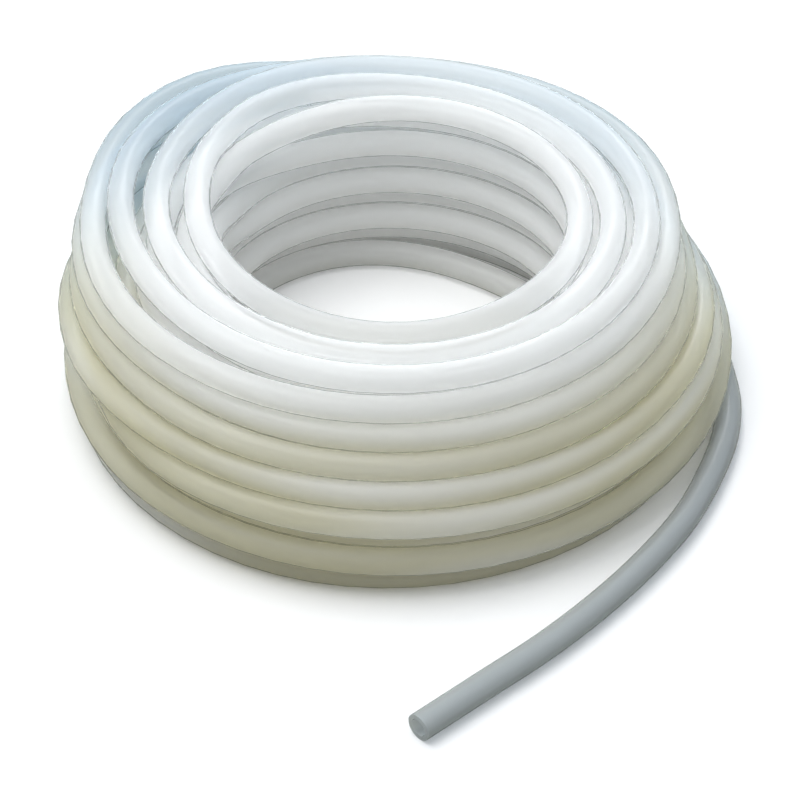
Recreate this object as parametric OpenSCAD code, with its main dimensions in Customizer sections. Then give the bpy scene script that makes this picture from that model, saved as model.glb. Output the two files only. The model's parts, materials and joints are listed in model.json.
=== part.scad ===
// Coil of translucent silicone tubing, tied by nothing but its own lay.
//
// The turns are wound in columns, up one and down the next, so the
// layers nest in each other's grooves. The last turn lies on the floor
// at the outside of the base layer. It leaves the round, passes under
// the turn above and runs out as the free end, cut square at its tip.
// All sizes are in millimetres. The coil stands on z = 0 and its axis
// is the Z axis.

/* [Tubing] */

// Outside diameter of the tubing
tube_od = 12; // [11:0.1:12.6]
// Bore of the tubing
tube_bore = 8; // [5:0.1:9]

/* [Coil] */

// Radius from the coil's axis to the middle of its innermost turns
inner_turn_r = 83; // [75:0.5:95]
// Gap between turns that lie side by side in one layer
side_gap = 1; // [0.4:0.1:1.6]
// Gap between a turn and the groove that it nests in
nest_gap = 0.1; // [0.05:0.05:0.4]
// Turns in each full layer
base_turns = 5; // [4:1:6]
// Full layers, counted from the base
full_layers = 5; // [4:1:6]
// Layers above the full ones, which lose a turn every second layer
shoulder_layers = 4; // [2:1:5]
// Depth by which the base turns flatten on the floor
floor_sag = 0.2; // [0.1:0.05:0.4]

/* [Last turn] */

// Bearing, from +X, at which the last turn leaves the round
leave_bearing = 16; // [12:0.5:20]
// Straight run over which it passes under the turn above
leave_run = 62; // [62:1:70]
// Angle of the round that the last turn covers
last_turn_angle = 330; // [322:1:332]
// Radius of the bend by which the turn before it tucks in
tuck_bend_r = 55; // [45:1:65]

/* [Free end] */

// Length of the straight piece at the cut tip
tip_length = 35; // [30:1:45]

/* [Hidden] */

// Corners of the swept tube, with a flat side down
sweep_sides = 12;

// Distance between turns in a layer, and between layers, and height
// of a turn's middle in the base layer and where it only lies free
turn_pitch = tube_od + side_gap;
layer_pitch = sqrt(pow(tube_od + nest_gap, 2) - pow(turn_pitch / 2, 2));
layer_count = full_layers + shoulder_layers;
base_z = tube_od / 2 - floor_sag;
lie_z = tube_od / 2;

// Half width of the web that closes the groove between two turns
web_half = tube_od * 0.2;

// Last turn's place in the base layer
last_r = inner_turn_r + (base_turns - 1) * turn_pitch;

// Where the last turn stops being part of the coil
leave_dir = [sin(leave_bearing), -cos(leave_bearing)];
leave_start = last_r * [cos(leave_bearing), sin(leave_bearing)];
free_start = leave_start + leave_run * leave_dir;

// Route of the free end over the floor, as steps from where it comes
// out from under the coil, up to the start of its straight tip
free_route = [
    [-2, -26],
    [-10, -52],
    [-23, -81],
    [-40, -107],
    [-61, -133],
    [-85, -158],
    [-111, -181],
];

// The swept wall is thicker than the tip's round one by this on each
// side, and holds the start of the round one over the overlap
sweep_margin = 0.04;
tip_overlap = 2;
free_z = tube_od / 2 + sweep_margin;

$fn = 96;

// Turns in one layer
function turns_in(layer) =
    layer < full_layers
        ? base_turns
        : base_turns - ceil((layer - full_layers + 1) / 2);

// Middle of one turn's section, as radius and height
function turn_centre(layer, turn) = [
    inner_turn_r + turn * turn_pitch + (layer % 2) * turn_pitch / 2,
    base_z + layer * layer_pitch
];

function outermost(layer) = turn_centre(layer, turns_in(layer) - 1);

// Ring of turns that forms the bundle's outside, in order: along the
// base, up the outside, back over the top and down the bore. The base
// layer's outermost turn is the last turn and isn't in the ring.
function outline_turns() = concat(
    [for (turn = [0 : base_turns - 2]) turn_centre(0, turn)],
    [turn_centre(1, base_turns - 2)],
    [for (layer = [1 : layer_count - 1]) outermost(layer)],
    [
        for (turn = [turns_in(layer_count - 1) - 2 : -1 : 0])
            turn_centre(layer_count - 1, turn)
    ],
    [for (layer = [layer_count - 2 : -1 : 1]) turn_centre(layer, 0)]
);

function unit(v) = v / norm(v);

// Section of one turn
module turn_section(centre) {
    translate(centre)
        circle(d = tube_od);
}

// Web between two turns that nest against each other
module web(a, b) {
    side = web_half * unit([a.y - b.y, b.x - a.x]);
    polygon([a - side, b - side, b + side, a + side]);
}

// Half plane above the floor
module above_floor() {
    square([2 * last_r, 2 * layer_count * tube_od]);
}

// Section through the bundle, from the bore to the outside
module bundle_section() {
    ring = outline_turns();
    count = len(ring);
    intersection() {
        union() {
            for (centre = ring)
                turn_section(centre);
            for (i = [0 : count - 1])
                web(ring[i], ring[(i + 1) % count]);
            polygon(ring);
        }
        above_floor();
    }
}

// Section through the last turn and the webs that seat it
module last_turn_section() {
    own = turn_centre(0, base_turns - 1);
    inner = turn_centre(0, base_turns - 2);
    upper_in = turn_centre(1, base_turns - 2);
    upper_out = turn_centre(1, base_turns - 1);
    intersection() {
        union() {
            turn_section(own);
            web(own, inner);
            web(own, upper_in);
            web(own, upper_out);
            polygon([inner, own, upper_out, upper_in]);
        }
        above_floor();
    }
}

// The last turn where it leaves the round, under the turn above
module leaving_turn() {
    rotate([0, 0, leave_bearing])
        rotate([90, 0, 0])
            linear_extrude(leave_run)
                turn_section([last_r, lie_z]);
}

// The turn before the last, where it tucks in behind it
module tucked_turn() {
    tuck_bearing = leave_bearing + last_turn_angle;
    tuck_centre = (last_r - tuck_bend_r) * [cos(tuck_bearing), sin(tuck_bearing)];
    translate([tuck_centre.x, tuck_centre.y, 0])
        rotate([0, 0, tuck_bearing])
            rotate_extrude(angle = 60)
                intersection() {
                    turn_section([tuck_bend_r, base_z]);
                    above_floor();
                }
}

// The coiled turns as one closed body
module coil() {
    color([0.90, 0.91, 0.90])
        union() {
            rotate_extrude()
                bundle_section();
            rotate([0, 0, leave_bearing])
                rotate_extrude(angle = last_turn_angle)
                    last_turn_section();
            leaving_turn();
            tucked_turn();
        }
}

// Directions of the route: along each leg, and halved at each corner
function legs(points) = [
    for (i = [0 : len(points) - 2]) unit(points[i + 1] - points[i])
];

function headings(points, first, last) = concat(
    [first],
    [
        for (i = [1 : len(points) - 2])
            unit(legs(points)[i - 1] + legs(points)[i])
    ],
    [last]
);

// One ring of the sweep: corners at a radius, square to the heading
function sweep_ring(point, heading, radius) = [
    for (i = [0 : sweep_sides - 1])
        let (
            turn = (i + 0.5) * 360 / sweep_sides,
            out = radius * cos(turn),
            up = radius * sin(turn)
        )
        [
            point.x - out * heading.y,
            point.y + out * heading.x,
            free_z + up
        ]
];

// Hollow tube swept along a route on the floor
module swept_tube(points, first, last) {
    turns = headings(points, first, last);
    rings = len(points);
    outer_r = free_z / cos(180 / sweep_sides);
    inner_r = tube_bore / 2 - sweep_margin;
    outer = [
        for (i = [0 : rings - 1])
            each sweep_ring(points[i], turns[i], outer_r)
    ];
    inner = [
        for (i = [0 : rings - 1])
            each sweep_ring(points[i], turns[i], inner_r)
    ];
    bore_at = rings * sweep_sides;
    end_at = (rings - 1) * sweep_sides;
    walls = [
        for (i = [0 : rings - 2])
            for (j = [0 : sweep_sides - 1])
                let (
                    a = i * sweep_sides + j,
                    b = i * sweep_sides + (j + 1) % sweep_sides
                )
                each [
                    [a, a + sweep_sides, b + sweep_sides, b],
                    [
                        bore_at + b,
                        bore_at + b + sweep_sides,
                        bore_at + a + sweep_sides,
                        bore_at + a
                    ]
                ]
    ];
    ends = [
        for (j = [0 : sweep_sides - 1])
            let (k = (j + 1) % sweep_sides)
            each [
                [j, k, bore_at + k, bore_at + j],
                [
                    end_at + k,
                    end_at + j,
                    bore_at + end_at + j,
                    bore_at + end_at + k
                ]
            ]
    ];
    polyhedron(points = concat(outer, inner), faces = concat(walls, ends));
}

// Straight piece of round tube at the cut tip, held by the sweep's end
module cut_tip(start, heading) {
    length = tip_overlap + tip_length;
    translate([start.x, start.y, free_z])
        rotate([0, 90, atan2(heading.y, heading.x)])
            translate([0, 0, -tip_overlap])
                difference() {
                    cylinder(h = length, d = tube_od);
                    translate([0, 0, -1])
                        cylinder(h = length + 2, d = tube_bore);
                }
}

// The uncoiled stretch of tubing with its cut tip
module free_end() {
    route = concat([free_start], [for (step = free_route) free_start + step]);
    rings = len(route);
    tip_start = route[rings - 1];
    tip_heading = unit(tip_start - route[rings - 2]);
    color([0.74, 0.78, 0.80])
        union() {
            swept_tube(route, leave_dir, tip_heading);
            cut_tip(tip_start, tip_heading);
        }
}

coil();
free_end();
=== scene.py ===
"""Coil of translucent silicone tubing on a pale stage.

The tube is one piece. Its turns are laid out on the sites of a nested
section, then settled against each other so that they lie on and beside
each other a diameter apart. The last turn leaves the round and runs out
over the floor to its cut tip. All sizes are in metres.
"""

import json
import math

import bpy
import numpy as np
from bpy.props import (
    FloatProperty,
    FloatVectorProperty,
    IntProperty,
    PointerProperty,
)
from bpy.types import Operator, Panel, PropertyGroup
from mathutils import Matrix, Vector

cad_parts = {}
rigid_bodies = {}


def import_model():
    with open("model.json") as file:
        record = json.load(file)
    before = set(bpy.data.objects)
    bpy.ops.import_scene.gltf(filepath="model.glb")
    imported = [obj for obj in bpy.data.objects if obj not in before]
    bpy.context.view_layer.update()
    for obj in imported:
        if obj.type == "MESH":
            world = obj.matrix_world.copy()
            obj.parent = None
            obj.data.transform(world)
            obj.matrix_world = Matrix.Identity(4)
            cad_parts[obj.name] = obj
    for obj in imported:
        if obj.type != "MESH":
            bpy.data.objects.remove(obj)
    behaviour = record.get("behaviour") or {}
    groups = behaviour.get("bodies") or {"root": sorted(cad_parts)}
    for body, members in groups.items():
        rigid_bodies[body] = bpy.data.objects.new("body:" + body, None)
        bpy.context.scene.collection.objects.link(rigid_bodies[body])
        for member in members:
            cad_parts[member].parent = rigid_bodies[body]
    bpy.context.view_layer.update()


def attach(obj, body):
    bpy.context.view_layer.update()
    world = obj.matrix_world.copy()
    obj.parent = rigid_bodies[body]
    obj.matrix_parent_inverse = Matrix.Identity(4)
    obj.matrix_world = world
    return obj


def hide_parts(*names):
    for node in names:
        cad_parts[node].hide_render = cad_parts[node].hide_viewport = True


bl_info = {
    "name": "Silicone Tubing Coil",
    "version": (1, 0, 0),
    "blender": (4, 5, 0),
    "location": "View3D > Sidebar > Tubing Coil",
    "description": "Winds a coil of translucent silicone tubing and lights it",
    "category": "Object",
}

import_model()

# Layers counted from the floor, and slots counted from the eye
FULL_LAYERS = 5
FULL_SLOTS = 5
VACANT_SITE = (3, 2)

# Bearings in degrees at which turns cross to the next site, from the first
# turn on. A turn whose number isn't named crosses between its neighbours.
CROSSINGS = {0: 112, 12: 160, 18: 169, 27: 366, 36: 366}
CROSSING_SPAN = 70

# Places where a turn lies out of its site: turn, bearing, spread in degrees
# before and after it, and millimetres outward and upward
LOOSE_PLACES = [
    (5, 134, 28, 15, 25, 0),
    (5, 196, 30, 24, 11, 0),
    (6, 126, 18, 18, 4, 11),
    (4, 140, 30, 26, 21, 0),
    (3, 170, 25, 20, 5.5, 0),
    (4, 126, 26, 18, 14, 0),
    (3, 122, 32, 14, 14, 0),
    (6, 150, 20, 20, 4, 0),
    (6, 178, 25, 25, 12, 0),
    (7, 132, 20, 20, 8, 9),
    (8, 122, 20, 18, 6, 1),
    (7, 160, 30, 22, 12, 2),
    (17, 180, 20, 14, 6, 0),
    (18, 196, 12, 12, -4, 0),
    (27, 190, 22, 22, -8, 0),
    (27, 0, 14, 20, 4, 0),
    (18, 20, 26, 16, -10, 0),
    (19, 20, 26, 16, -9, 0),
    (26, 14, 14, 14, 5, 0),
    (17, 22, 18, 14, -8, 0),
    (16, 20, 16, 14, -5, 0),
    (15, 20, 16, 14, -3, 0),
    (7, 18, 14, 12, -4, 0),
    (5, 40, 32, 32, 8, 3),
    (2, 30, 35, 35, -2, 0),
    (3, 30, 35, 35, -1, 0),
    (4, 30, 35, 35, 1.5, 0),
    (2, 265, 50, 45, -2, -1.5),
    (2, 218, 25, 25, -2.5, 1),
    (32, 140, 30, 30, 2.5, 0),
    (32, 52, 26, 26, -7, 0),
    (2, 315, 20, 20, -2.5, 0.5),
    (27, 250, 40, 60, 1, 0),
    (36, 240, 40, 60, 5, 0),
]

# Route of the free end over the floor, as steps from where it comes out
FREE_ROUTE = [
    (-0.002, -0.026),
    (-0.010, -0.052),
    (-0.023, -0.081),
    (-0.040, -0.107),
    (-0.061, -0.133),
    (-0.085, -0.158),
    (-0.111, -0.181),
]

# Direction over the floor in which the free end sets out, the distance
# between its rings, and the length of it whose bore is open
FREE_HEADING = (0.06, -1.0)
FREE_STEP = 0.006
FREE_BORE = 0.29

# Bearing in degrees at which the last turn starts to leave the round, and
# the reach of the slopes that shape its way out
LANE_START = 44
LANE_REACH = 0.14
LANE_POINTS = 40

# How the coil is drawn in at the back: bearing in degrees at the floor and
# what it gains for each metre of height, spread in degrees, and depth at the
# floor and what it loses for each metre of height
DRAWN_BEARING = 70
DRAWN_TWIST = 220
DRAWN_SPREAD = 42
DRAWN_DEPTH = 0.006
DRAWN_LOSS = 0.028

# How the turns settle: rounds, pull towards the target and smoothing along
# the tube in each, pushes in a round, share of an overlap that a turn gives
# way by, and room that a tube takes, in diameters
SETTLE_ROUNDS = 220
SETTLE_PULL = 0.05
SETTLE_SMOOTHING = 0.25
SETTLE_PUSHES = 4
SETTLE_GIVE = 0.42
SETTLE_ROOM = 1.004

# Optics of the silicone and of its skin, the colour of its faint painted glow,
# and the stretch of the noise that breaks the painted low shade into streaks
SILICONE_IOR = 1.04
SKIN_IOR = 1.41
SKIN_ROUGHNESS = 0.28
PAINTED_GLOW_COLOUR = (1.0, 0.99, 0.95, 1)
STREAK_SCALE = (7.0, 2.0, 1.0)

# Values between which painted shade comes in: heights, radii, places behind
# the axis and ways to the tip in metres, and levels of the streaks
LOW_SHADE_HEIGHTS = (0.086, 0.048)
LOW_SHADE_STREAKS = (0.15, 0.55)
LOW_SHADE_RADII = (0.095, 0.130)
BACK_SHADE_RADII = (0.085, 0.142)
BACK_SHADE_DEPTHS = (-0.03, 0.09)
FREE_END_SHADE_WAYS = (0.40, 0.26)

# Directions between which the light of the room changes, to the back and up
ROOM_DEPTHS = (-0.6, 0.6)
ROOM_HEIGHTS = (0.15, 0.9)
WHITE = (1.0, 1.0, 1.0)


class TubingSettings(PropertyGroup):
    """Sizes of the tubing and of the coil."""

    outside: FloatProperty(
        name="Outside diameter",
        description="Outside diameter of the tubing",
        default=0.012,
        min=0.001,
        unit="LENGTH",
    )
    bore: FloatProperty(
        name="Bore",
        description="Bore of the tubing",
        default=0.008,
        min=0.0005,
        unit="LENGTH",
    )
    inner_radius: FloatProperty(
        name="Inner turn radius",
        description="Radius to the middle of the innermost turns",
        default=0.083,
        unit="LENGTH",
    )
    side_gap: FloatProperty(
        name="Side gap",
        description="Gap between turns that lie side by side",
        default=0.001,
        unit="LENGTH",
    )
    nest_gap: FloatProperty(
        name="Nest gap",
        description="Gap between a turn and the groove it lies in",
        default=0.0001,
        unit="LENGTH",
    )
    floor_sag: FloatProperty(
        name="Floor sag",
        description="Depth by which the base turns flatten on the floor",
        default=0.0002,
        unit="LENGTH",
    )
    leave_bearing: FloatProperty(
        name="Leaving bearing",
        description="Bearing at which the last turn leaves the round",
        default=math.radians(16),
        subtype="ANGLE",
    )
    leave_run: FloatProperty(
        name="Leaving run",
        description="Straight run under the turn above",
        default=0.062,
        unit="LENGTH",
    )
    tip_length: FloatProperty(
        name="Tip length",
        description="Straight piece at the cut tip",
        default=0.035,
        unit="LENGTH",
    )
    bore_depth: FloatProperty(
        name="Bore depth",
        description="Depth to which the bore is open at the hidden start",
        default=0.04,
        unit="LENGTH",
    )
    stations: IntProperty(
        name="Stations",
        description="Rings of the mesh in one turn",
        default=60,
        min=24,
    )
    sides: IntProperty(
        name="Sides",
        description="Sides of the tube's skin and of its bore",
        default=18,
        min=8,
    )


class FinishSettings(PropertyGroup):
    """Colours and gloss of the silicone, with its painted shade and painted
    glow.
    """

    silicone: FloatVectorProperty(
        name="Silicone",
        description="Colour of the silicone on top of the coil",
        subtype="COLOR",
        size=3,
        default=(0.975, 0.981, 0.98),
        min=0,
        max=1,
    )
    # Painted shade: a darker, yellower colour laid low on the outer wall, in
    # streaks along the tube
    low_shade: FloatVectorProperty(
        name="Warm silicone",
        description="Colour of the silicone low in the bundle",
        subtype="COLOR",
        size=3,
        default=(0.82, 0.80, 0.65),
        min=0,
        max=1,
    )
    # Painted shade: a darker blue colour on the outermost turns behind the
    # axis, standing in for blue light from the back
    back_blue_shade: FloatVectorProperty(
        name="Thin silicone",
        description="Colour of the outermost turns at the back",
        subtype="COLOR",
        size=3,
        default=(0.66, 0.76, 0.83),
        min=0,
        max=1,
    )
    # Painted shade: the free end goes a darker grey blue towards its tip
    single: FloatVectorProperty(
        name="Single tube",
        description="Colour of the free end, where only one tube is seen",
        subtype="COLOR",
        size=3,
        default=(0.63, 0.67, 0.685),
        min=0,
        max=1,
    )
    clearness: FloatProperty(
        name="Clearness",
        description="Share of the light that passes through the silicone",
        default=0.68,
        min=0,
        max=1,
    )
    # Painted glow: a faint even emission that lifts the shade between the
    # turns
    scatter: FloatProperty(
        name="Scattered light",
        description=(
            "Faint light that stands for what scatters inside the walls"
        ),
        default=0.028,
        min=0,
        max=0.1,
    )
    sheen: FloatProperty(
        name="Sheen",
        description="Weight of the smooth outer skin",
        default=0.55,
        min=0,
        max=1,
    )
    roughness: FloatProperty(
        name="Roughness",
        description="Roughness of the silicone under its skin",
        default=0.58,
        min=0,
        max=1,
    )


class StageSettings(PropertyGroup):
    """Camera, floor and lights."""

    camera_height: FloatProperty(
        name="Camera height",
        description="Height of the camera over the floor",
        default=1.0316,
        unit="LENGTH",
    )
    camera_back: FloatProperty(
        name="Camera distance",
        description="Distance of the camera in front of the coil's axis",
        default=1.2109,
        unit="LENGTH",
    )
    camera_pitch: FloatProperty(
        name="Camera pitch",
        description="Angle by which the camera looks down",
        default=math.radians(39.086),
        subtype="ANGLE",
    )
    lens: FloatProperty(
        name="Lens",
        description="Focal length in millimetres",
        default=159.8,
    )
    shift_x: FloatProperty(
        name="Shift X",
        description="Sideways shift of the picture",
        default=0.0075,
    )
    shift_y: FloatProperty(
        name="Shift Y",
        description="Upward shift of the picture",
        default=-0.1424,
    )
    top_power: FloatProperty(
        name="Top light",
        description="Power of the soft light overhead, in watts",
        default=14.9,
    )
    back_power: FloatProperty(
        name="Back light",
        description="Power of the narrow light at the back, in watts",
        default=6,
    )
    ceiling: FloatVectorProperty(
        name="Ceiling",
        description="Light from overhead",
        subtype="COLOR",
        size=3,
        default=(0.90, 0.93, 0.98),
        min=0,
        max=4,
    )
    back_wall: FloatVectorProperty(
        name="Back wall",
        description="Light from behind the coil",
        subtype="COLOR",
        size=3,
        default=(0.30, 0.42, 0.54),
        min=0,
        max=4,
    )
    front_wall: FloatVectorProperty(
        name="Front wall",
        description="Light from the camera's side",
        subtype="COLOR",
        size=3,
        default=(0.06, 0.06, 0.05),
        min=0,
        max=4,
    )
    bench: FloatVectorProperty(
        name="Bench",
        description="Colour of the floor as it lights the tubing",
        subtype="COLOR",
        size=3,
        default=(0.42, 0.42, 0.37),
        min=0,
        max=1,
    )


def smooth_step(t):
    """Rises from 0 to 1 with level ends."""
    t = np.clip(t, 0.0, 1.0)
    return t * t * (3 - 2 * t)


def hump(off, before, after):
    """Round hump over the way along the tube, 1 at its middle."""
    width = np.where(off < 0, before, after)
    return np.exp(-0.5 * (off / width) ** 2)


def hermite(t, a, slope_a, b, slope_b):
    """Point on a curve that leaves a and reaches b with given slopes."""
    return (
        (2 * t**3 - 3 * t**2 + 1) * a
        + (t**3 - 2 * t**2 + t) * slope_a
        + (3 * t**2 - 2 * t**3) * b
        + (t**3 - t**2) * slope_b
    )


def winding_order():
    """Layer and slot of each turn, from the hidden start to the last turn."""
    top = [(7, 1), (7, 0), (8, 0), (8, 1), (8, 2), (7, 2)]
    shoulder = [(6, 3), (5, 3), (5, 2), (6, 2), (6, 1), (6, 0), (5, 0)]
    full = []
    for layer in reversed(range(FULL_LAYERS)):
        slots = list(range(FULL_SLOTS))
        if layer % 2:
            slots.reverse()
        full += [
            (layer, slot) for slot in slots if (layer, slot) != VACANT_SITE
        ]
    return top + shoulder + full


def site(size, layer, slot):
    """Radius and height of a site in the nested section."""
    pitch = size.outside + size.side_gap
    rise = math.sqrt((size.outside + size.nest_gap) ** 2 - (pitch / 2) ** 2)
    radius = size.inner_radius + slot * pitch + (layer % 2) * pitch / 2
    return radius, size.outside / 2 - size.floor_sag + layer * rise


def crossings(count):
    """Angle swept from the start to the crossing at which each turn starts."""
    turns = np.arange(count)
    bearing = np.interp(turns, list(CROSSINGS), list(CROSSINGS.values()))
    return bearing, 360 * turns - (bearing - bearing[0])


def leaving_lane(size, radius):
    """Bearing and radius of the last turn as it runs out of the round."""
    leave = size.leave_bearing
    start = math.radians(LANE_START)
    first = radius * np.array([math.cos(start), math.sin(start)])
    last = radius * np.array([math.cos(leave), math.sin(leave)])
    last += size.leave_run * np.array([math.sin(leave), -math.cos(leave)])
    slope_in = LANE_REACH * np.array([math.sin(start), -math.cos(start)])
    slope_out = LANE_REACH * np.array(FREE_HEADING)
    t = np.linspace(0, 1, LANE_POINTS)[:, None]
    lane = hermite(t, first, slope_in, last, slope_out)
    bearing = np.degrees(np.arctan2(lane[:, 1], lane[:, 0]))
    return bearing, np.hypot(lane[:, 0], lane[:, 1])


def laid_targets(size):
    """Bearing, radius and height that each station is drawn to."""
    order = winding_order()
    sites = np.array([site(size, *place) for place in order])
    cross_bearing, cross_swept = crossings(len(order))
    lane_bearing, lane_radius = leaving_lane(size, sites[-1][0])
    step = 360 / size.stations
    whole = cross_swept[-1] + cross_bearing[-1]
    stations = int((whole - lane_bearing[-1]) / step) + 1
    swept = step * np.arange(stations)
    bearing = cross_bearing[0] - swept
    moved = smooth_step(
        (swept[:, None] - cross_swept[None, 1:]) / CROSSING_SPAN + 0.5
    )
    place = sites[0] + moved @ np.diff(sites, axis=0)
    radius, height = place[:, 0], place[:, 1]
    for turn, at, before, after, outward, upward in LOOSE_PLACES:
        centre = cross_swept[turn] + (cross_bearing[turn] - at) % 360
        bulge = 0.001 * hump(swept - centre, before, after)
        radius = radius + outward * bulge
        height = height + upward * bulge
    middle = DRAWN_BEARING
    off_middle = (bearing - middle - DRAWN_TWIST * height + 180) % 360 - 180
    drawn_in = DRAWN_DEPTH - DRAWN_LOSS * height
    radius = radius - drawn_in * hump(off_middle, DRAWN_SPREAD, DRAWN_SPREAD)
    height = np.maximum(height, sites[-1][1])
    past = whole - swept
    leaving = past < lane_bearing[0]
    radius[leaving] = np.interp(-past[leaving], -lane_bearing, lane_radius)
    height[leaving] = size.outside / 2
    return bearing, radius, height, leaving


def parting_moves(point, columns, gap):
    """Moves that part the turns that run into each other."""
    count = len(point)
    rows = -(-count // columns)
    grid = np.full((rows * columns, 2), np.nan)
    grid[:count] = point
    table = grid.reshape(rows, columns, 2)
    apart = table[:, None] - table[None, :]
    distance = np.sqrt((apart**2).sum(axis=3))
    overlap = gap - distance
    overlap[np.isnan(overlap)] = 0
    overlap = np.clip(overlap, 0, None)
    overlap[np.arange(rows), np.arange(rows)] = 0
    way = apart / np.maximum(distance, 1e-6)[..., None]
    way[np.isnan(way)] = 0
    push = (SETTLE_GIVE * overlap[..., None] * way).sum(axis=1)
    return push.reshape(-1, 2)[:count]


def settle(size, radius, height, held):
    """Moves the turns apart until they only touch, and smooths them along."""
    target = np.stack([radius, height], axis=1)
    point = target.copy()
    gap = size.outside * SETTLE_ROOM
    floor = size.outside / 2 - size.floor_sag
    for _ in range(SETTLE_ROUNDS):
        point += SETTLE_PULL * (target - point)
        bend = point[:-2] - 2 * point[1:-1] + point[2:]
        point[1:-1] += SETTLE_SMOOTHING * bend
        for _ in range(SETTLE_PUSHES):
            point += parting_moves(point, size.stations, gap)
            point[:, 1] = np.maximum(point[:, 1], floor)
            point[held] = target[held]
    return point[:, 0], point[:, 1]


def free_run(size):
    """Points of the free end, from the end of the leaving run to the tip."""
    bearing = size.leave_bearing
    radius = site(size, 0, FULL_SLOTS - 1)[0]
    heading = Vector((math.sin(bearing), -math.cos(bearing)))
    start = radius * Vector((math.cos(bearing), math.sin(bearing)))
    start += size.leave_run * heading
    corners = [start] + [start + Vector(step) for step in FREE_ROUTE]
    tip_heading = (corners[-1] - corners[-2]).normalized()
    corners.append(corners[-1] + size.tip_length * tip_heading)
    corners = np.array([tuple(c) for c in corners])
    slopes = (corners[2:] - corners[:-2]) / 2
    first_leg = np.linalg.norm(corners[1] - corners[0])
    last_leg = np.linalg.norm(corners[-1] - corners[-2])
    slopes = np.vstack(
        [
            np.array(FREE_HEADING) * first_leg,
            slopes,
            np.array(tip_heading) * last_leg,
        ]
    )
    line = []
    for a, b, m, n in zip(corners, corners[1:], slopes, slopes[1:]):
        parts = max(int(round(np.linalg.norm(b - a) / FREE_STEP)), 1)
        for t in np.arange(parts) / parts:
            line.append(hermite(t, a, m, b, n))
    line.append(corners[-1])
    line = np.array(line)
    return np.column_stack([line, np.full(len(line), size.outside / 2)])


def tube_line(size):
    """Middle line of the whole tube, from its hidden start to its tip."""
    bearing, radius, height, leaving = laid_targets(size)
    radius, height = settle(size, radius, height, leaving)
    angle = np.radians(bearing)
    wound = np.column_stack(
        [radius * np.cos(angle), radius * np.sin(angle), height]
    )
    return np.vstack([wound, free_run(size)])


def ring_frames(line):
    """Directions across the tube at each ring: level, and upward."""
    along = np.gradient(line, axis=0)
    along /= np.linalg.norm(along, axis=1)[:, None]
    side = np.cross(along, (0.0, 0.0, 1.0))
    side /= np.linalg.norm(side, axis=1)[:, None]
    return side, np.cross(side, along)


def wall_points(line, side, up, radius, sides):
    """Corners of one wall of the tube, ring by ring, kept off the floor."""
    angle = 2 * math.pi * (np.arange(sides) + 0.5) / sides
    points = (
        line[:, None]
        + radius * np.cos(angle)[None, :, None] * side[:, None]
        + radius * np.sin(angle)[None, :, None] * up[:, None]
    )
    points[..., 2] = np.maximum(points[..., 2], 0.0)
    return points


def strip(a, b, sides):
    """Faces between two rings whose corners start at a and at b."""
    return [
        (a + j, a + (j + 1) % sides, b + (j + 1) % sides, b + j)
        for j in range(sides)
    ]


def sharpen_cuts(mesh, rings, sides):
    """Marks the edges of the cut ends as sharp."""
    for edge in mesh.edges:
        a, b = (v // sides for v in edge.vertices)
        if a == b and a in rings:
            edge.use_edge_sharp = True


def wrap_texture(mesh, ways, sides):
    """Lays the texture along the tube, once round it."""
    layer = mesh.uv_layers.new(name="tube")
    for polygon in mesh.polygons:
        spots = [mesh.loops[k].vertex_index for k in polygon.loop_indices]
        seam = {spot % sides for spot in spots} == {0, sides - 1}
        for k, spot in zip(polygon.loop_indices, spots):
            around = spot % sides
            if seam and around == 0:
                around = sides
            layer.data[k].uv = (ways[spot // sides], around / sides)


def tube_mesh(name, line, size):
    """Closed mesh of the tube, with its bore open at both cut ends."""
    sides = size.sides
    side, up = ring_frames(line)
    gone = np.concatenate(
        [[0], np.cumsum(np.linalg.norm(np.diff(line, axis=0), axis=1))]
    )
    skin = wall_points(line, side, up, size.outside / 2, sides)
    bore = wall_points(line, side, up, size.bore / 2, sides)
    open_length = size.leave_run + FREE_BORE
    start_rings = int(np.searchsorted(gone, size.bore_depth)) + 1
    end_rings = len(line) - int(np.searchsorted(gone, gone[-1] - open_length))
    rings = np.concatenate(
        [bore[:start_rings][::-1], skin, bore[-end_rings:][::-1]]
    )
    ways = np.concatenate(
        [gone[:start_rings][::-1], gone, gone[-end_rings:][::-1]]
    )
    faces = []
    for i in range(len(rings) - 1):
        faces += strip(i * sides, (i + 1) * sides, sides)
    faces.append(tuple(reversed(range(sides))))
    last = (len(rings) - 1) * sides
    faces.append(tuple(range(last, last + sides)))
    mesh = bpy.data.meshes.new(name)
    mesh.from_pydata(rings.reshape(-1, 3).tolist(), [], faces)
    for polygon in mesh.polygons:
        polygon.use_smooth = True
    way = mesh.attributes.new("way_to_tip", "FLOAT", "POINT")
    way.data.foreach_set("value", np.repeat(gone[-1] - ways, sides))
    tip = start_rings + len(skin)
    sharpen_cuts(mesh, (start_rings - 1, start_rings, tip - 1, tip), sides)
    wrap_texture(mesh, ways, sides)
    return mesh


def ramp(nodes, links, value, limits, kind="SMOOTHSTEP"):
    """Factor that goes from 0 to 1 as a value goes between two limits."""
    step = nodes.new("ShaderNodeMapRange")
    step.interpolation_type = kind
    step.inputs["From Min"].default_value = limits[0]
    step.inputs["From Max"].default_value = limits[1]
    links.new(value, step.inputs["Value"])
    return step.outputs["Result"]


def product(nodes, links, a, b):
    """Product of two factors."""
    node = nodes.new("ShaderNodeMath")
    node.operation = "MULTIPLY"
    links.new(a, node.inputs[0])
    links.new(b, node.inputs[1])
    return node.outputs["Value"]


def tint(nodes, links, factor, under, over):
    """Colour that goes over to another one by a factor."""
    mix = nodes.new("ShaderNodeMixRGB")
    links.new(factor, mix.inputs["Fac"])
    if isinstance(under, bpy.types.NodeSocket):
        links.new(under, mix.inputs["Color1"])
    else:
        mix.inputs["Color1"].default_value = (*under, 1)
    mix.inputs["Color2"].default_value = (*over, 1)
    return mix.outputs["Color"]


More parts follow.
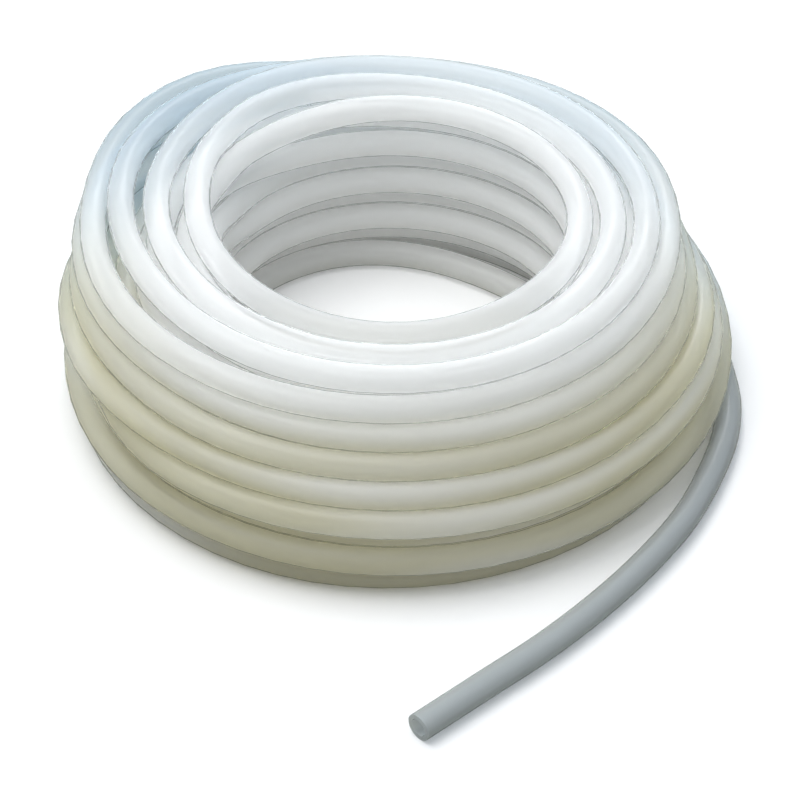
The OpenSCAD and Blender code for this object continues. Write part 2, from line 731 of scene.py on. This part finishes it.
def noise_along(nodes, links, tube, scale):
    """Noise that is drawn out along the tube."""
    mapping = nodes.new("ShaderNodeMapping")
    mapping.inputs["Scale"].default_value = scale
    links.new(tube, mapping.inputs["Vector"])
    noise = nodes.new("ShaderNodeTexNoise")
    noise.noise_dimensions = "2D"
    noise.inputs["Scale"].default_value = 1.0
    noise.inputs["Detail"].default_value = 0.0
    links.new(mapping.outputs["Vector"], noise.inputs["Vector"])
    return noise.outputs["Fac"]


def silicone_material(finish):
    """Milky translucent silicone, with painted shade and a faint painted glow.

    It is whitest on top. Painted shade makes it darker and yellower low on
    the outer wall, in streaks along the tube, darker and bluer on the
    outermost turns at the back, and a darker grey blue on the free end,
    where a tube lies alone.
    """
    material = bpy.data.materials.new("milky_silicone")
    material.use_nodes = True
    material.cycles.emission_sampling = "NONE"
    nodes, links = material.node_tree.nodes, material.node_tree.links
    shader = nodes["Principled BSDF"]
    shader.inputs["IOR"].default_value = SILICONE_IOR
    shader.inputs["Roughness"].default_value = finish.roughness
    shader.inputs["Transmission Weight"].default_value = finish.clearness
    shader.inputs["Coat Weight"].default_value = finish.sheen
    shader.inputs["Coat Roughness"].default_value = SKIN_ROUGHNESS
    shader.inputs["Coat IOR"].default_value = SKIN_IOR
    # Painted glow: a faint emission over the whole tube that lifts the dark
    # grooves
    shader.inputs["Emission Color"].default_value = PAINTED_GLOW_COLOUR
    shader.inputs["Emission Strength"].default_value = finish.scatter

    uv = nodes.new("ShaderNodeUVMap")
    uv.uv_map = "tube"
    streaks = noise_along(nodes, links, uv.outputs["UV"], STREAK_SCALE)

    place = nodes.new("ShaderNodeTexCoord")
    parts = nodes.new("ShaderNodeSeparateXYZ")
    links.new(place.outputs["Object"], parts.inputs["Vector"])
    flat = nodes.new("ShaderNodeVectorMath")
    flat.operation = "MULTIPLY"
    flat.inputs[1].default_value = (1, 1, 0)
    links.new(place.outputs["Object"], flat.inputs[0])
    radius = nodes.new("ShaderNodeVectorMath")
    radius.operation = "LENGTH"
    links.new(flat.outputs["Vector"], radius.inputs[0])

    # Painted shade: low on the outer wall, in streaky patches, the colour goes
    # darker and yellower
    low = ramp(nodes, links, parts.outputs["Z"], LOW_SHADE_HEIGHTS)
    patch = ramp(nodes, links, streaks, LOW_SHADE_STREAKS)
    wall = ramp(nodes, links, radius.outputs["Value"], LOW_SHADE_RADII)
    low_wall = product(nodes, links, low, wall)
    low_shade_share = product(nodes, links, low_wall, patch)
    milk = tint(nodes, links, low_shade_share, finish.silicone, finish.low_shade)

    # Painted shade: the outermost turns behind the axis go a darker blue
    rim = ramp(nodes, links, radius.outputs["Value"], BACK_SHADE_RADII)
    back = ramp(nodes, links, parts.outputs["Y"], BACK_SHADE_DEPTHS)
    outside = product(nodes, links, rim, back)
    back_shaded = tint(nodes, links, outside, milk, finish.back_blue_shade)

    # Painted shade: a darker grey blue near the tip of the free end
    way = nodes.new("ShaderNodeAttribute")
    way.attribute_name = "way_to_tip"
    free = ramp(nodes, links, way.outputs["Fac"], FREE_END_SHADE_WAYS)
    colour = tint(nodes, links, free, back_shaded, finish.single)
    links.new(colour, shader.inputs["Base Color"])
    return material


def deselect_all():
    """Leaves nothing selected, so that an operator acts on one piece."""
    for thing in bpy.context.scene.objects:
        thing.select_set(False)


class SCENE_OT_tubing_camera(Operator):
    """Places the camera at the height and angle of the picture"""

    bl_idname = "scene.tubing_camera"
    bl_label = "Camera"

    def execute(self, context):
        stage = context.scene.coil_stage
        data = bpy.data.cameras.new("camera")
        data.lens = stage.lens
        data.sensor_width = 36
        data.shift_x = stage.shift_x
        data.shift_y = stage.shift_y
        data.clip_start = 0.1
        data.clip_end = 20
        camera = bpy.data.objects.new("camera", data)
        camera.location = (0, -stage.camera_back, stage.camera_height)
        camera.rotation_euler = (math.pi / 2 - stage.camera_pitch, 0, 0)
        context.scene.collection.objects.link(camera)
        context.scene.camera = camera
        return {"FINISHED"}


class OBJECT_OT_silicone_tubing(Operator):
    """Winds the tubing from its hidden start to its cut tip"""

    bl_idname = "object.silicone_tubing"
    bl_label = "Silicone Tubing"

    def execute(self, context):
        size = context.scene.coil_tubing
        line = tube_line(size)
        mesh = tube_mesh("silicone_tubing", line, size)
        piece = bpy.data.objects.new("silicone_tubing", mesh)
        context.scene.collection.objects.link(piece)
        mesh.materials.append(silicone_material(context.scene.coil_finish))
        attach(piece, "root")
        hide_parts("coil", "free_end")
        return {"FINISHED"}


def area_light(name, place, aim, width, power, colour=WHITE):
    """Soft square light at a place, aimed at a point."""
    data = bpy.data.lights.new(name, "AREA")
    data.shape = "SQUARE"
    data.size = width
    data.energy = power
    data.color = colour
    light = bpy.data.objects.new(name, data)
    light.location = place
    way = Vector(aim) - Vector(place)
    light.rotation_euler = way.to_track_quat("-Z", "Y").to_euler()
    bpy.context.scene.collection.objects.link(light)


def floor_material(stage):
    """White to the camera, and a dull bench to the light on the tubing."""
    material = bpy.data.materials.new("white_floor")
    material.use_nodes = True
    nodes, links = material.node_tree.nodes, material.node_tree.links
    shader = nodes["Principled BSDF"]
    shader.inputs["Roughness"].default_value = 0.9
    shader.inputs["Specular IOR Level"].default_value = 0.0
    rays = nodes.new("ShaderNodeLightPath")
    direct = rays.outputs["Is Camera Ray"]
    seen = tint(nodes, links, direct, stage.bench, WHITE)
    links.new(seen, shader.inputs["Base Color"])
    return material


def soft_room(stage):
    """Room that is bright overhead, blue behind and dull at the front."""
    world = bpy.data.worlds.new("soft_room")
    world.use_nodes = True
    nodes, links = world.node_tree.nodes, world.node_tree.links
    room = nodes["Background"]
    where = nodes.new("ShaderNodeTexCoord")
    parts = nodes.new("ShaderNodeSeparateXYZ")
    links.new(where.outputs["Generated"], parts.inputs["Vector"])
    depth = ramp(nodes, links, parts.outputs["Y"], ROOM_DEPTHS, "LINEAR")
    climb = ramp(nodes, links, parts.outputs["Z"], ROOM_HEIGHTS, "LINEAR")
    walls = tint(nodes, links, depth, stage.front_wall, stage.back_wall)
    sky = tint(nodes, links, climb, walls, stage.ceiling)
    rays = nodes.new("ShaderNodeLightPath")
    seen = tint(nodes, links, rays.outputs["Is Camera Ray"], sky, WHITE)
    links.new(seen, room.inputs["Color"])
    room.inputs["Strength"].default_value = 1.0
    return world


class SCENE_OT_tubing_stage(Operator):
    """Lays the white floor and sets the soft lights"""

    bl_idname = "scene.tubing_stage"
    bl_label = "Stage"

    def execute(self, context):
        stage = context.scene.coil_stage
        deselect_all()
        bpy.ops.mesh.primitive_plane_add(size=8, location=(0, 0, 0))
        floor = context.active_object
        floor.name = "floor"
        floor.data.materials.append(floor_material(stage))
        context.scene.world = soft_room(stage)
        context.scene.view_settings.view_transform = "Standard"
        area_light(
            "top_light",
            place=(-0.5, 0.05, 1.58),
            aim=(0, 0, 0),
            width=1.2,
            power=stage.top_power,
            colour=(1.0, 0.99, 0.965),
        )
        area_light(
            "back_light",
            place=(0.2, 1.35, 1.05),
            aim=(0, 0, 0.05),
            width=0.6,
            power=stage.back_power,
        )
        return {"FINISHED"}


class VIEW3D_PT_tubing_coil(Panel):
    """Lists the makers of the coil and its stage"""

    bl_label = "Tubing Coil"
    bl_space_type = "VIEW_3D"
    bl_region_type = "UI"
    bl_category = "Tubing Coil"

    def draw(self, context):
        layout = self.layout
        for maker in MAKERS:
            layout.operator(maker.bl_idname)


MAKERS = (
    SCENE_OT_tubing_camera,
    OBJECT_OT_silicone_tubing,
    SCENE_OT_tubing_stage,
)
CLASSES = (
    TubingSettings,
    FinishSettings,
    StageSettings,
    *MAKERS,
    VIEW3D_PT_tubing_coil,
)


def register():
    """Adds the settings, the makers and their panel."""
    for kind in CLASSES:
        bpy.utils.register_class(kind)
    bpy.types.Scene.coil_tubing = PointerProperty(type=TubingSettings)
    bpy.types.Scene.coil_finish = PointerProperty(type=FinishSettings)
    bpy.types.Scene.coil_stage = PointerProperty(type=StageSettings)


def unregister():
    """Takes them away again."""
    del bpy.types.Scene.coil_tubing
    del bpy.types.Scene.coil_finish
    del bpy.types.Scene.coil_stage
    for kind in reversed(CLASSES):
        bpy.utils.unregister_class(kind)


def main():
    """Makes the camera, the tubing and the stage."""
    register()
    bpy.ops.scene.tubing_camera()
    bpy.ops.object.silicone_tubing()
    bpy.ops.scene.tubing_stage()


if __name__ == "__main__":
    main()
